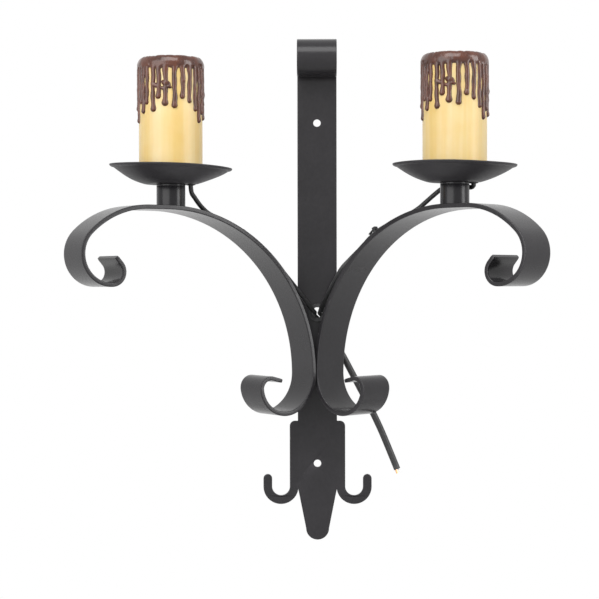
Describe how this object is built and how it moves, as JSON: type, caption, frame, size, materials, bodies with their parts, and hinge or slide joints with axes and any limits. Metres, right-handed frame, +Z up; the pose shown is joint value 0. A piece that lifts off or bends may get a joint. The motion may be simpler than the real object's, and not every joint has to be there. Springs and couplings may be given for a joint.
{
  "type": "torch sconce",
  "caption": "Wrought iron wall sconce with flat-bar scroll arms carrying drip pans and electric candle sleeves on a hooked back plate, wired through the plate.",
  "frame": {"origin": "on the wall face, midway between the two screw holes", "axes": "+X right seen from the room, +Y into the wall, +Z up"},
  "size_m": [0.431, 0.2056, 0.4832],
  "materials": {
    "satin_iron": "satin black over forged flat bar",
    "gloss_iron": "gloss black",
    "black_rubber": "matte",
    "black_nylon": "moulded",
    "zinc_steel": "zinc plated",
    "phenolic": "moulded phenolic",
    "brass": "drawn",
    "cream_resin": "satin cast resin, wax look",
    "brown_resin": "glossy poured drips",
    "copper": "bare copper strand",
    "white_insulation": "white insulation"
  },
  "bodies": {
    "sconce": {"back_plate": "satin_iron", "arm_left": "satin_iron", "arm_right": "satin_iron", "hub_welds": "satin_iron", "hole_bushing": "black_rubber", "stem_left": "gloss_iron", "stem_right": "gloss_iron", "pan_collar_left": "satin_iron", "pan_collar_right": "satin_iron", "drip_pan_left": "satin_iron", "drip_pan_right": "satin_iron", "pan_grommet_left": "black_rubber", "pan_grommet_right": "black_rubber", "nipple_left": "zinc_steel", "nipple_right": "zinc_steel", "locknuts_left": "zinc_steel", "locknuts_right": "zinc_steel", "socket_bracket_left": "zinc_steel", "socket_bracket_right": "zinc_steel", "socket_shell_left": "phenolic", "socket_shell_right": "phenolic", "screw_shell_left": "brass", "screw_shell_right": "brass", "centre_contact_left": "brass", "centre_contact_right": "brass", "lamp_cord_left": "black_rubber", "lamp_cord_right": "black_rubber", "cord_ties": "black_nylon", "splice_sleeve": "black_rubber", "supply_tail": "black_rubber", "tail_core_copper": "copper", "tail_core_white": "white_insulation"},
    "sleeve_left": {"candle_sleeve_left": "cream_resin", "drip_coat_left": "brown_resin"},
    "sleeve_right": {"candle_sleeve_right": "cream_resin", "drip_coat_right": "brown_resin"}
  },
  "joints": [
    {"name": "lift_left", "type": "slide", "parent": "sconce", "child": "sleeve_left", "axis": [0, 0, 1], "range_m": [0, 0.115]},
    {"name": "lift_right", "type": "slide", "parent": "sconce", "child": "sleeve_right", "axis": [0, 0, 1], "range_m": [0, 0.115]}
  ]
}
